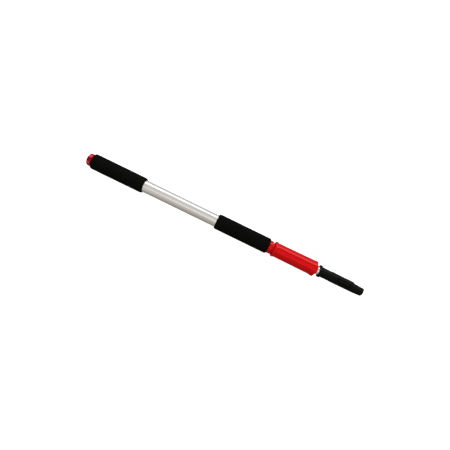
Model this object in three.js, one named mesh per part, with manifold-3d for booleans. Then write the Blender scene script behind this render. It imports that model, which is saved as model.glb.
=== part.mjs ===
// Telescoping roller extension pole: a handle tube with two foam grips, a pull-back
// lock sleeve over a set of wedge jaws, and an inner tube that carries a quick-connect tip.
//
// Millimetres, +Z up. The pole lies along X with its tip towards +X. Pieces are made about
// the pole's own axis (y = 0, z = 0) and the whole group is lifted so that it rests on z = 0.

import * as THREE from 'three';
import { mergeVertices } from 'three/addons/utils/BufferGeometryUtils.js';
import Module from 'manifold-3d';

const wasm = await Module();
wasm.setup();

// ---------------------------------------------------------------- driving dimensions

const SIDES = 32; // flats round every turned piece, so that flats face straight up and down
const FIT = 0.3; // gap between pieces that are pressed, seated or riveted together
const OVERRUN = 3; // how far a cutting shape runs past the surface that it cuts
const ROOT = 1; // how far a joined shape runs into its neighbour
const FLUSH = 0.5; // how far a cross pin's ends stand below the surface
const HALF_LENGTH = 381; // the retracted pole is 762 mm (30 in) long

const FOAM_FLAT = 20; // height of the axis above the ground: half the foam's width
const FOAM_RADIUS = FOAM_FLAT / Math.cos(Math.PI / SIDES);
const FOAM_BORE = 16.2;

const TUBE = { start: -368.7, end: 118.8, outer: 15.875, inner: 14.375 }; // 1 1/4 in tube
const INNER = { start: -344.9, end: 293, outer: 11.1, inner: 9.9 }; // 7/8 in tube
const RUNNING_BORE = 11.4; // every hole that the inner tube only passes through

const REAR_GRIP = { start: -368, end: -226, butt_round: 3.6, front_round: 3 };
const FRONT_GRIP = { start: -24.5, end: 118.8, round: 2 };

const COLLAR = { start: TUBE.end + FIT, end: 128.4, radius: 16.7, round: 1 };
const SPIGOT = { start: 101, radius: TUBE.inner - FIT };
const NECK_RADIUS = 12.6;
const LAND = { start: 137.5, end: 146, radius: 15.4 };
const BARREL = { radius: 13.2, end: 241 };
const KEY = { top: 16.2, width: 9, end: 139.5 }; // keeps the sleeve from turning
const RIVET = { x: 110, head: 3.2, shank: 1.7, sink: 1.3, inner_end: 12 };

const RELEASE_TRAVEL = 4.5; // how far the sleeve is pulled back
const SLEEVE = { start: 133.2, end: 250.2, bore: 15.7, front_bore: 16.9 };
const BRIDGE = { start: 184, end: 195.7, bore: 13.5 }; // the sleeve's inner wall
const THUMB_RIB = { start: 143.5, low: 18.75, end: 246.5, high: 19.8, width: 13, root: 17.3 };

const CONE = { start: 206, end: 229, radius: 13.85, slope: 0.09 };
const CAM = { start: BRIDGE.end + FIT, end: 232.1, outer: SLEEVE.front_bore - FIT };
const JAW = { start: 208, end: 224, width: 15.5, grip: INNER.outer + 0.1, cam_gap: 0.15 };
const JAW_ANGLES = [0, 120, 240]; // turned from +Y towards +Z

const SPRING_SEAT = { start: LAND.end + FIT, thick: 1 };
const SLEEVE_SPRING = { wire: 0.8, mean: 14.45, turns: 6 };

const NOSE = { start: CAM.end + FIT, face: 249.6, end: 255.4, lip: 12.4, chamfer: 0.8, edge: 0.3 };
const BUSHING = { end: 246.6, gap: 0.2 };

const CAP = { shoulder: -369, radius: 16, round: 2.4, plug_end: -360, wall: 3.6 };
const BUTT_PIN = { x: -364.5, radius: 1.25 };
const BUMPER = { start: CAP.plug_end + FIT, thick: 3, outer: 13.8, inner: 7 };
const GUIDE = {
  start: -356.2, shoulder: -345.2, radius: 13.9, chamfer: 0.8, bore: 6, plug_end: -330,
};
const GLIDE = { start: -352.5, end: -348.5, groove: 12.4, outer: 14.2 };
const GUIDE_PIN = { x: -337, radius: 1.25 };

const TIP = {
  start: 258.8, flange_end: 267.5, flange: 15.7, flange_edge: 0.9,
  root: 13.2, neck: 12.6, step: 292.5, body: 13.2, body_end: 356, shoulder: 13,
  end_radius: 12.2, end_edge: 1.4,
};
const TIP_SOCKET = { outer: 11.4, core: 9.6, core_start: 270, bottom: INNER.end + FIT };
const KEY_FLAT = { start: 353, ramp: 2.5, near: 10.4, far: 8.9 }; // the flat on the tip's +Y side
const TIP_PIN = { x: 281, radius: 1.5 };

const WINDOW = { start: 307.3, end: 346, half_width: 5.2, floor: 2 };
const LATCH = { start: 308.2, end: 345.6, half_width: 4.8, underside: 9.6, skin: 0.15 };
const LATCH_PIVOT = { x: 342.5, z: 7.6, boss: 2.3, pin: 1 };
const CATCH = {
  start: 311.5, crest: 314.5, crest_end: 315.5, end: 317.5,
  foot: -0.6, height: 0.75, half_width: 2.8,
};
const LATCH_SPRING = { x: 321, wire: 0.4, mean: 2.2, turns: 4 };

// ---------------------------------------------------------------- finishes

const finish = (color, roughness, metalness) => ({ color, roughness, metalness });
const ALUMINIUM = finish(0xcfcdc9, 0.32, 0.9);
const RED_PLASTIC = finish(0xc40a16, 0.3, 0);
const RED_CAP = finish(0xb81228, 0.22, 0.35);
const BLACK_PLASTIC = finish(0x171717, 0.6, 0);
const FOAM = finish(0x0d0d0d, 0.95, 0);
const WHITE_NYLON = finish(0xe6e3da, 0.5, 0);
const RUBBER = finish(0x202020, 0.85, 0);
const STEEL = finish(0x9a9da1, 0.35, 0.9);

// ---------------------------------------------------------------- shape helpers

/** A body of revolution about the X axis from [x, radius] points that run clockwise. */
function turned(points) {
  const closed = points.map(([x, radius]) => new THREE.Vector2(radius, x));
  const onAxis = points[0][1] === 0 && points[points.length - 1][1] === 0;
  if (!onAxis) closed.push(closed[0].clone());
  const geometry = new THREE.LatheGeometry(closed, SIDES);
  geometry.rotateZ(-Math.PI / 2);
  geometry.rotateX(Math.PI / SIDES);
  return geometry;
}

/** A plain sleeve between two stations and two radii. */
function tube(start, end, outer, inner) {
  return turned([[start, inner], [end, inner], [end, outer], [start, outer]].reverse());
}

/** A quarter-round corner as [x, radius] points, from one angle to another in degrees. */
function corner(x, radius, size, from, to, steps = 4) {
  const points = [];
  for (let i = 0; i <= steps; i += 1) {
    const angle = THREE.MathUtils.degToRad(from + ((to - from) * i) / steps);
    points.push([x + size * Math.cos(angle), radius + size * Math.sin(angle)]);
  }
  return points;
}

/** A rod along a direction, given by the point it is centred on, its radius and length. */
function rod(centre, direction, radius, length, sides = 16) {
  const geometry = new THREE.CylinderGeometry(radius, radius, length, sides);
  const turn = new THREE.Quaternion().setFromUnitVectors(
    new THREE.Vector3(0, 1, 0), direction.clone().normalize());
  geometry.applyQuaternion(turn);
  geometry.translate(centre.x, centre.y, centre.z);
  return geometry;
}

/** A box between two opposite corners. */
function block(low, high) {
  const size = high.map((value, i) => value - low[i]);
  const geometry = new THREE.BoxGeometry(...size);
  geometry.translate(...high.map((value, i) => (value + low[i]) / 2));
  return geometry;
}

/** An outline of [x, z] points carried straight across the pole, from -y to +y. */
function slab(outline, halfWidth) {
  const shape = new THREE.Shape(outline.map(([x, z]) => new THREE.Vector2(x, z)));
  const geometry = new THREE.ExtrudeGeometry(
    shape, { depth: 2 * halfWidth, bevelEnabled: false });
  geometry.translate(0, 0, -halfWidth);
  geometry.rotateX(Math.PI / 2);
  return geometry;
}

/** A round wire wound about X, or about Z when upright, between two stations. */
function coil({ from, to, mean, wire, turns, upright = false, at = 0 }) {
  const steps = 12 * turns;
  const path = [];
  for (let i = 0; i <= steps; i += 1) {
    const angle = (i / steps) * turns * 2 * Math.PI;
    const along = from + wire + ((to - from - 2 * wire) * i) / steps;
    const across = [mean * Math.cos(angle), mean * Math.sin(angle)];
    path.push(upright
      ? new THREE.Vector3(at + across[0], across[1], along)
      : new THREE.Vector3(along, across[0], across[1]));
  }
  const section = new THREE.Shape();
  const corners = 6;
  for (let i = 0; i < corners; i += 1) {
    const angle = (i / corners) * 2 * Math.PI;
    const point = [wire * Math.cos(angle), wire * Math.sin(angle)];
    if (i === 0) section.moveTo(...point);
    else section.lineTo(...point);
  }
  section.closePath();
  return new THREE.ExtrudeGeometry(section, {
    steps, bevelEnabled: false, extrudePath: new THREE.CatmullRomCurve3(path),
  });
}

/** A closed geometry as a solid that can be cut and joined. */
function solid(geometry) {
  const plain = geometry.clone();
  plain.deleteAttribute('normal');
  plain.deleteAttribute('uv');
  const merged = mergeVertices(plain, 1e-4);
  const triangles = [];
  const index = merged.index.array;
  for (let i = 0; i < index.length; i += 3) {
    const [a, b, c] = index.slice(i, i + 3);
    if (a !== b && b !== c && a !== c) triangles.push(a, b, c);
  }
  return new wasm.Manifold(new wasm.Mesh({
    numProp: 3,
    vertProperties: new Float32Array(merged.attributes.position.array),
    triVerts: new Uint32Array(triangles),
  }));
}

/** A solid back as a geometry, with flat faces. */
function shaped(body) {
  const mesh = body.getMesh();
  const geometry = new THREE.BufferGeometry();
  geometry.setAttribute('position', new THREE.BufferAttribute(mesh.vertProperties, 3));
  geometry.setIndex(new THREE.BufferAttribute(mesh.triVerts, 1));
  geometry.computeVertexNormals();
  return geometry;
}

/** One geometry with others cut out of it. */
function cut(geometry, ...tools) {
  return shaped(tools.reduce((body, tool) => body.subtract(solid(tool)), solid(geometry)));
}

const ALONG_Y = new THREE.Vector3(0, 1, 0);
const onAxis = (x) => new THREE.Vector3(x, 0, 0);

// ---------------------------------------------------------------- the assembly

const pole = new THREE.Group();

function add(name, geometry, look) {
  const mesh = new THREE.Mesh(geometry, new THREE.MeshStandardMaterial(look));
  mesh.name = name;
  pole.add(mesh);
}

/** A countersunk rivet pointing out of the axis; grown makes the hole it sits in. */
function rivetShape(side, grown) {
  const top = TUBE.outer * Math.cos(Math.PI / SIDES) - 0.05;
  const sink = top - RIVET.sink;
  const profile = [
    [0, RIVET.inner_end - (grown ? OVERRUN : 0)],
    [RIVET.shank + grown, RIVET.inner_end - (grown ? OVERRUN : 0)],
    [RIVET.shank + grown, sink],
    [RIVET.head + grown, top],
    [RIVET.head + grown, top + (grown ? OVERRUN : 0)],
    [0, top + (grown ? OVERRUN : 0)],
  ].map(([radius, height]) => new THREE.Vector2(radius, height));
  if (!grown) profile.splice(4, 1);
  const geometry = new THREE.LatheGeometry(profile, 16);
  geometry.rotateX((side * Math.PI) / 2);
  geometry.translate(RIVET.x, 0, 0);
  return geometry;
}

function addHandleTube() {
  const plain = tube(TUBE.start, TUBE.end, TUBE.outer, TUBE.inner);
  const holes = [
    rivetShape(1, FIT),
    rivetShape(-1, FIT),
    rod(onAxis(BUTT_PIN.x), ALONG_Y, BUTT_PIN.radius + FIT, 3 * TUBE.outer, 12),
  ];
  add('outer_tube', cut(plain, ...holes), ALUMINIUM);
}

function addButtCap() {
  const end = -HALF_LENGTH;
  const body = turned([
    [end, 0],
    ...corner(end + CAP.round, CAP.radius - CAP.round, CAP.round, 180, 90),
    [CAP.shoulder, CAP.radius],
    [CAP.shoulder, SPIGOT.radius],
    [CAP.plug_end, SPIGOT.radius],
    [CAP.plug_end, SPIGOT.radius - CAP.wall],
    [end + CAP.wall, SPIGOT.radius - CAP.wall],
    [end + CAP.wall, 0],
  ]);
  const hole = rod(onAxis(BUTT_PIN.x), ALONG_Y, BUTT_PIN.radius + FIT, 3 * TUBE.outer, 12);
  add('butt_cap', cut(body, hole), RED_CAP);
  const pinLength = 2 * (TUBE.outer - FIT);
  add('butt_pin', rod(onAxis(BUTT_PIN.x), ALONG_Y, BUTT_PIN.radius, pinLength, 12), STEEL);
}

/** A foam grip: a sleeve whose two outer corners are rounded. */
function grip(start, end, startRound, endRound) {
  return turned([
    [start, FOAM_BORE],
    ...corner(start + startRound, FOAM_RADIUS - startRound, startRound, 180, 90),
    ...corner(end - endRound, FOAM_RADIUS - endRound, endRound, 90, 0),
    [end, FOAM_BORE],
  ]);
}

function addGrips() {
  const rear = REAR_GRIP;
  const front = FRONT_GRIP;
  add('rear_grip', grip(rear.start, rear.end, rear.butt_round, rear.front_round), FOAM);
  add('front_grip', grip(front.start, front.end, front.round, front.round), FOAM);
}

/** A jaw's outline turned all the way round; a box then cuts one jaw out of it. */
function jawRing() {
  const coneAt = (x) => CONE.radius + (x - CONE.start) * CONE.slope - JAW.cam_gap;
  return turned([
    [JAW.start, JAW.grip],
    [JAW.start, coneAt(JAW.start)],
    [JAW.end, coneAt(JAW.end)],
    [JAW.end, JAW.grip],
  ]);
}

/** The straight-sided block that a jaw slides in; gap widens it into the barrel's window. */
function jawBlock(angle, gap) {
  const half = JAW.width / 2 + gap;
  const geometry = block([JAW.start - gap, 2, -half], [JAW.end + gap, 30, half]);
  geometry.rotateX(THREE.MathUtils.degToRad(angle));
  return geometry;
}

function addLockBody() {
  const { start, end, radius, round } = COLLAR;
  const body = turned([
    [SPIGOT.start, RUNNING_BORE],
    [SPIGOT.start, SPIGOT.radius],
    [start, SPIGOT.radius],
    ...corner(start + round, radius - round, round, 180, 90, 3),
    ...corner(end - round, radius - round, round, 90, 0, 3),
    [end, NECK_RADIUS],
    [LAND.start, NECK_RADIUS],
    [LAND.start, LAND.radius],
    [LAND.end, LAND.radius],
    [LAND.end, BARREL.radius],
    [BARREL.end, BARREL.radius],
    [BARREL.end, RUNNING_BORE],
  ]);
  const half = KEY.width / 2;
  const keyBlank = block([end - ROOT, -KEY.top, -half], [KEY.end, -NECK_RADIUS + ROOT, half]);
  let made = solid(body).add(solid(keyBlank));
  JAW_ANGLES.forEach((angle) => {
    made = made.subtract(solid(jawBlock(angle, FIT)));
  });
  [1, -1].forEach((side) => {
    made = made.subtract(solid(rivetShape(side, FIT)));
  });
  add('lock_body', shaped(made), RED_PLASTIC);
  add('lock_rivet_1', rivetShape(1, 0), STEEL);
  add('lock_rivet_2', rivetShape(-1, 0), STEEL);
}

function addJaws() {
  JAW_ANGLES.forEach((angle, i) => {
    const jaw = solid(jawRing()).intersect(solid(jawBlock(angle, 0)));
    add(`jaw_${i + 1}`, shaped(jaw), STEEL);
  });
}

function addCamRing() {
  const endRadius = CONE.radius + (CONE.end - CONE.start) * CONE.slope;
  add('cam_ring', turned([
    [CAM.start, CONE.radius],
    [CAM.start, CAM.outer],
    [CAM.end, CAM.outer],
    [CAM.end, endRadius],
    [CONE.end, endRadius],
    [CONE.start, CONE.radius],
  ]), WHITE_NYLON);
}

/** The sleeve's outer line, from the flare by the collar to the flare by the nose. */
const SLEEVE_OUTLINE = [
  [133.2, 18.3], [133.6, 19.2], [134.3, 19.75], [135.3, 19.95], [138.3, 19.95], [139.8, 19.5],
  [141.3, 18.85], [143.2, 18.45], [170, 18.45], [238, 18.95], [240.8, 19.2], [243, 19.6],
  [245, 19.9], [246.4, 19.95], [248.3, 19.9], [249.3, 19.3], [249.9, 18.6], [250.2, 17.8],
];

function addLockSleeve() {
  const body = turned([
    [SLEEVE.start, SLEEVE.bore],
    ...SLEEVE_OUTLINE,
    [SLEEVE.end, SLEEVE.front_bore],
    [BRIDGE.end, SLEEVE.front_bore],
    [BRIDGE.end, BRIDGE.bore],
    [BRIDGE.start, BRIDGE.bore],
    [BRIDGE.start, SLEEVE.bore],
  ]);
  const rib = THUMB_RIB;
  const ribBlank = slab([
    [rib.start, rib.root], [rib.end, rib.root], [rib.end, rib.high], [rib.start, rib.low],
  ], rib.width / 2);
  ribBlank.rotateX(-Math.PI / 2);
  const half = KEY.width / 2 + FIT;
  const keyway = block(
    [SLEEVE.start - OVERRUN, -KEY.top - FIT, -half],
    [KEY.end + RELEASE_TRAVEL + FIT, -SLEEVE.bore + OVERRUN, half],
  );
  const made = solid(body).add(solid(ribBlank)).subtract(solid(keyway));
  add('lock_sleeve', shaped(made), RED_PLASTIC);
}

function addSleeveSpring() {
  const seatEnd = SPRING_SEAT.start + SPRING_SEAT.thick;
  add('spring_seat', tube(SPRING_SEAT.start, seatEnd, LAND.radius, BARREL.radius + FIT), STEEL);
  const { mean, wire, turns } = SLEEVE_SPRING;
  const from = seatEnd + FIT;
  const to = BRIDGE.start - FIT;
  add('sleeve_spring', coil({ from, to, mean, wire, turns }), STEEL);
}

function addNose() {
  const inside = BARREL.radius + FIT;
  add('nose_cap', turned([
    [NOSE.start, inside],
    [NOSE.start, CAM.outer],
    [NOSE.face - NOSE.chamfer, CAM.outer],
    [NOSE.face, CAM.outer - NOSE.chamfer],
    [NOSE.face, NOSE.lip + NOSE.chamfer],
    [NOSE.face + NOSE.chamfer, NOSE.lip],
    [NOSE.end - NOSE.edge, NOSE.lip],
    [NOSE.end, NOSE.lip - NOSE.edge],
    [NOSE.end, RUNNING_BORE],
    [BUSHING.end + FIT, RUNNING_BORE],
    [BUSHING.end + FIT, inside],
  ]), RED_PLASTIC);
  add('nose_bushing', tube(
    BARREL.end + FIT, BUSHING.end, BARREL.radius, INNER.outer + BUSHING.gap), WHITE_NYLON);
}

function addInnerTube() {
  const holes = [
    rod(onAxis(GUIDE_PIN.x), ALONG_Y, GUIDE_PIN.radius + FIT, 3 * INNER.outer, 12),
    rod(onAxis(TIP_PIN.x), ALONG_Y, TIP_PIN.radius + FIT, 3 * INNER.outer, 12),
  ];
  const plain = tube(INNER.start, INNER.end, INNER.outer, INNER.inner);
  add('inner_tube', cut(plain, ...holes), ALUMINIUM);
}

function addRearGuide() {
  const body = turned([
    [GUIDE.start, GUIDE.bore],
    [GUIDE.start, GUIDE.radius - GUIDE.chamfer],
    [GUIDE.start + GUIDE.chamfer, GUIDE.radius],
    [GLIDE.start, GUIDE.radius],
    [GLIDE.start, GLIDE.groove],
    [GLIDE.end, GLIDE.groove],
    [GLIDE.end, GUIDE.radius],
    [GUIDE.shoulder, GUIDE.radius],
    [GUIDE.shoulder, INNER.inner - FIT],
    [GUIDE.plug_end, INNER.inner - FIT],
    [GUIDE.plug_end, GUIDE.bore],
  ]);
  const hole = rod(onAxis(GUIDE_PIN.x), ALONG_Y, GUIDE_PIN.radius + FIT, 3 * INNER.outer, 12);
  add('rear_guide', cut(body, hole), WHITE_NYLON);
  add('glide_ring', tube(
    GLIDE.start + FIT, GLIDE.end - FIT, GLIDE.outer, GLIDE.groove + FIT), RUBBER);
  const length = 2 * (INNER.outer - FIT);
  add('guide_pin', rod(onAxis(GUIDE_PIN.x), ALONG_Y, GUIDE_PIN.radius, length, 12), STEEL);
  add('stop_bumper', tube(
    BUMPER.start, BUMPER.start + BUMPER.thick, BUMPER.outer, BUMPER.inner), RUBBER);
}

/** The tip's outer line: flange, tapering root, neck, step, straight part and end stage. */
const TIP_OUTLINE = [
  [TIP.start, TIP.flange - TIP.flange_edge], [TIP.start + TIP.flange_edge, TIP.flange],
  [TIP.flange_end - TIP.flange_edge, TIP.flange], [TIP.flange_end, TIP.flange - TIP.flange_edge],
  [TIP.flange_end, TIP.root], [TIP.step - 4, TIP.neck], [TIP.step, TIP.neck],
  [TIP.step + 2, TIP.body], [TIP.body_end, TIP.shoulder],
  [HALF_LENGTH - TIP.end_edge, TIP.end_radius], [HALF_LENGTH, TIP.end_radius - TIP.end_edge],
  [HALF_LENGTH, 0],
];

function tipBlank() {
  return turned([
    [TIP_SOCKET.core_start, 0],
    [TIP_SOCKET.core_start, TIP_SOCKET.core],
    [TIP_SOCKET.bottom, TIP_SOCKET.core],
    [TIP_SOCKET.bottom, TIP_SOCKET.outer],
    [TIP.start, TIP_SOCKET.outer],
    ...TIP_OUTLINE,
  ]);
}

/** What is cut off the end stage's +Y side to leave the sloping key flat. */
function keyFlatTool() {
  const { start, ramp, near, far } = KEY_FLAT;
  const beyond = HALF_LENGTH + 5;
  const geometry = slab([
    [start, near + FIT * 2], [start + ramp, near], [HALF_LENGTH, far], [beyond, far],
    [beyond, 30], [start, 30],
  ], 30);
  geometry.rotateX(-Math.PI / 2);
  return geometry;
}

function latchPinRod(radius) {
  const centre = new THREE.Vector3(LATCH_PIVOT.x, 0, LATCH_PIVOT.z);
  const reach = Math.sqrt(TIP.shoulder ** 2 - LATCH_PIVOT.z ** 2) - FLUSH;
  const extra = radius > LATCH_PIVOT.pin ? 2 * OVERRUN : 0;
  return rod(centre, ALONG_Y, radius, 2 * reach + extra, 12);
}

function addTipBody() {
  const { start, end, half_width, floor } = WINDOW;
  const tools = [
    keyFlatTool(),
    block([start, -half_width, floor], [end, half_width, 30]),
    latchPinRod(LATCH_PIVOT.pin + FIT),
    rod(onAxis(TIP_PIN.x), ALONG_Y, TIP_PIN.radius + FIT, 3 * TIP.neck, 12),
  ];
  add('tip_body', cut(tipBlank(), ...tools), BLACK_PLASTIC);
  const length = 2 * (TIP.neck - FLUSH);
  add('tip_pin', rod(onAxis(TIP_PIN.x), ALONG_Y, TIP_PIN.radius, length, 12), STEEL);
}

function addLatch() {
  const { start, end, half_width, underside, skin } = LATCH;
  const crown = turned([
    [start - ROOT, 0],
    [start - ROOT, TIP.body - skin],
    [end + ROOT, TIP.shoulder - skin],
    [end + ROOT, 0],
  ]);
  const pad = solid(block([start, -half_width, underside], [end, half_width, 20]));
  const boss = new THREE.Vector3(LATCH_PIVOT.x, 0, LATCH_PIVOT.z);
  const knuckle = rod(boss, ALONG_Y, LATCH_PIVOT.boss, 2 * half_width, 16);
  const wedge = slab([
    [CATCH.start, underside + ROOT], [CATCH.end, underside + ROOT], [CATCH.end, TIP.body],
    [CATCH.crest_end, TIP.body + CATCH.height], [CATCH.crest, TIP.body + CATCH.height],
    [CATCH.start, TIP.body + CATCH.foot],
  ], CATCH.half_width);
  const hole = latchPinRod(LATCH_PIVOT.pin + FIT / 2);
  const made = pad.intersect(solid(crown)).add(solid(knuckle)).add(solid(wedge));
  add('tip_latch', shaped(made.subtract(solid(hole))), BLACK_PLASTIC);
  add('latch_pin', latchPinRod(LATCH_PIVOT.pin), STEEL);
  const { x, mean, wire, turns } = LATCH_SPRING;
  const from = WINDOW.floor + FIT;
  const to = underside - FIT;
  add('latch_spring', coil({ from, to, mean, wire, turns, upright: true, at: x }), STEEL);
}

addHandleTube();
addButtCap();
addGrips();
addLockBody();
addJaws();
addCamRing();
addLockSleeve();
addSleeveSpring();
addNose();
addInnerTube();
addRearGuide();
addTipBody();
addLatch();

pole.position.z = FOAM_FLAT;

const assembly = new THREE.Group();
assembly.add(pole);

export default assembly;
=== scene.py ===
"""A telescoping roller extension pole, dressed for rendering.

The frame gives every piece its place. Each operator below makes one piece, or one group of like
pieces, as a worked-out surface with a procedural finish, and rides it on the body it moves with.
"""

import math

import bmesh
import bpy
import numpy as np
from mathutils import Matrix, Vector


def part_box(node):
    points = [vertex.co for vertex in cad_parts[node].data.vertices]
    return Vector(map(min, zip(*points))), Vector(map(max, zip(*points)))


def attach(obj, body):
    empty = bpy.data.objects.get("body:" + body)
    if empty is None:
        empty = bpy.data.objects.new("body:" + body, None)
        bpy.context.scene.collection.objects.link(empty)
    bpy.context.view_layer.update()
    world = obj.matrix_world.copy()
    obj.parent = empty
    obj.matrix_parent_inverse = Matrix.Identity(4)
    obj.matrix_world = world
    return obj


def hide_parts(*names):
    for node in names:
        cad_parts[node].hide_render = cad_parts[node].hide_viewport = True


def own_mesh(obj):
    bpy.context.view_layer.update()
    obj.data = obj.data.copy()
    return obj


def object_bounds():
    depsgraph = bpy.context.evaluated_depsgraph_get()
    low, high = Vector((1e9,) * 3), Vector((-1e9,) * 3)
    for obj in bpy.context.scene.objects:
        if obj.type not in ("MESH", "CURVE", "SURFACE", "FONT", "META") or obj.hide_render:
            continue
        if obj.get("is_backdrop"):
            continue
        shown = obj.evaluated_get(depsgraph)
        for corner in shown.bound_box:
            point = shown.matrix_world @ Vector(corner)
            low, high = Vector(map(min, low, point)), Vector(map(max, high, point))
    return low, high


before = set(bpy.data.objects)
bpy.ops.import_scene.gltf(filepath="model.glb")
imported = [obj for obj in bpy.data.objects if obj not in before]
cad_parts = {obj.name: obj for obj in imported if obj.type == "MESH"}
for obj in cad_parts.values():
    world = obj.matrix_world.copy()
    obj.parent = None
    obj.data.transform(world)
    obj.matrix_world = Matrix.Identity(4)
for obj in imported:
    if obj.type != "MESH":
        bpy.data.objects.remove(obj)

bl_info = {
    "name": "Roller Extension Pole",
    "version": (1, 0, 0),
    "blender": (4, 5, 0),
    "location": "View3D > Sidebar > Pole",
    "description": "Builds the pieces and finishes of a telescoping roller extension pole",
    "category": "Object",
}

MM = 0.001
FRAME_FLATS = 32  # the frame's turned pieces have this many flats
TO_CORNER = 1 / math.cos(math.pi / FRAME_FLATS)  # from a flat's height to its true radius
TURNS = 192  # points round a large turned piece
FINE_TURNS = 320  # points round a piece with a key, a slot or a flat
FILLET_STEPS = 6
SEAT_GAP = 0.3 * MM  # between a piece and the one that it is seated in or against


# ------------------------------------------------------------------ places read from the frame

def span(node):
    """The first and last station of a node along the pole."""
    low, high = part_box(node)
    return low.x, high.x


def middle(node):
    """The middle of a node's box."""
    low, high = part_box(node)
    return (low + high) / 2


def half_height(node):
    """Half the height of a node's box."""
    low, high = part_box(node)
    return (high.z - low.z) / 2


def true_radius(node):
    """The radius of the round that a turned node's flats stand for."""
    return half_height(node) * TO_CORNER


AXIS_Z = middle("outer_tube").z  # height of the pole's axis
FOAM_RADIUS = half_height("front_grip")
TUBE_RADIUS = true_radius("outer_tube")
INNER_RADIUS = true_radius("inner_tube")


# ------------------------------------------------------------------ sizes and colours to change

class PoleSizes(bpy.types.PropertyGroup):
    """Sizes that the frame's boxes don't give."""

    tube_wall: bpy.props.FloatProperty(
        name="Tube wall", description="Wall of the handle tube",
        default=1.5 * MM, unit="LENGTH", precision=4)
    inner_wall: bpy.props.FloatProperty(
        name="Inner tube wall", description="Wall of the sliding tube",
        default=1.2 * MM, unit="LENGTH", precision=4)
    running_gap: bpy.props.FloatProperty(
        name="Running gap", description="Gap round the sliding tube where it passes a hole",
        default=0.3 * MM, unit="LENGTH", precision=4)
    foam_gap: bpy.props.FloatProperty(
        name="Foam gap", description="Gap between a foam grip's bore and the tube",
        default=0.1 * MM, unit="LENGTH", precision=4)
    foam_swell: bpy.props.FloatProperty(
        name="Foam unevenness", description="How far the foam's surface wanders from round",
        default=0.12 * MM, unit="LENGTH", precision=4)
    foam_sag: bpy.props.FloatProperty(
        name="Foam end shrink", description="How far a foam grip narrows towards its cut ends",
        default=0.7 * MM, unit="LENGTH", precision=4)
    butt_round: bpy.props.FloatProperty(
        name="Butt rounding", description="Rounding of the rear grip's butt end",
        default=3.4 * MM, unit="LENGTH", precision=4)
    thumb_rib: bpy.props.FloatProperty(
        name="Thumb rib", description="Height of the low rib along the sleeve's side",
        default=0.8 * MM, unit="LENGTH", precision=4)
    flare_lobe: bpy.props.FloatProperty(
        name="Flare lobe", description="How far each flare of the sleeve swells to its own side",
        default=0.25 * MM, unit="LENGTH", precision=4)
    flange_lean: bpy.props.FloatProperty(
        name="Flange lean", description="How far the tip's flange leans back at its +Y edge",
        default=1.3 * MM, unit="LENGTH", precision=4)
    catch: bpy.props.FloatProperty(
        name="Latch catch", description="Height of the catch on the tip's tongue",
        default=0.95 * MM, unit="LENGTH", precision=4)


class PoleFinishes(bpy.types.PropertyGroup):
    """Base colours and the depth of each finish."""

    red: bpy.props.FloatVectorProperty(
        name="Lock red", description="Colour of the red lock mouldings",
        subtype="COLOR", size=3, min=0, max=1, default=(0.620, 0.0030, 0.0060))
    cap_red: bpy.props.FloatVectorProperty(
        name="Cap red", description="Colour of the butt cap's lacquer",
        subtype="COLOR", size=3, min=0, max=1, default=(0.440, 0.0045, 0.0200))
    foam: bpy.props.FloatVectorProperty(
        name="Foam", description="Colour of the foam grips",
        subtype="COLOR", size=3, min=0, max=1, default=(0.0046, 0.0046, 0.0044))
    black: bpy.props.FloatVectorProperty(
        name="Tip black", description="Colour of the black tip mouldings",
        subtype="COLOR", size=3, min=0, max=1, default=(0.0100, 0.0100, 0.0100))
    metal: bpy.props.FloatVectorProperty(
        name="Tube metal", description="Colour of the drawn aluminium tubes",
        subtype="COLOR", size=3, min=0, max=1, default=(0.94, 0.93, 0.91))
    steel: bpy.props.FloatVectorProperty(
        name="Steel", description="Colour of pins, springs and jaws",
        subtype="COLOR", size=3, min=0, max=1, default=(0.56, 0.57, 0.59))
    nylon: bpy.props.FloatVectorProperty(
        name="Nylon", description="Colour of the guides and bushings",
        subtype="COLOR", size=3, min=0, max=1, default=(0.80, 0.78, 0.71))


class StageSettings(bpy.types.PropertyGroup):
    """The camera, floor and lights."""

    distance: bpy.props.FloatProperty(
        name="Camera distance", description="From the pole's axis straight up to the camera",
        default=0.768, unit="LENGTH")
    lens: bpy.props.FloatProperty(
        name="Lens", description="Focal length on a 36 mm sensor", default=24.38)
    roll: bpy.props.FloatProperty(
        name="Roll", description="How far the view is turned about its own axis",
        default=math.radians(25.98), subtype="ANGLE")
    aside: bpy.props.FloatVectorProperty(
        name="Aside", description="Shift of the picture, as a share of its width",
        size=2, default=(-0.00097, 0.0007), precision=5)
    floor_size: bpy.props.FloatProperty(
        name="Floor size", description="Width of the floor", default=12.0, unit="LENGTH")
    floor_glow: bpy.props.FloatProperty(
        name="Floor glow", description="Light given off by the white floor", default=0.78)
    key_light: bpy.props.FloatProperty(
        name="Key light", description="Power of the soft key light overhead", default=9.0)
    room: bpy.props.FloatProperty(
        name="Room", description="Brightness of the strips of light round the pole", default=1.18)


# ------------------------------------------------------------------ profiles and surfaces

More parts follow.
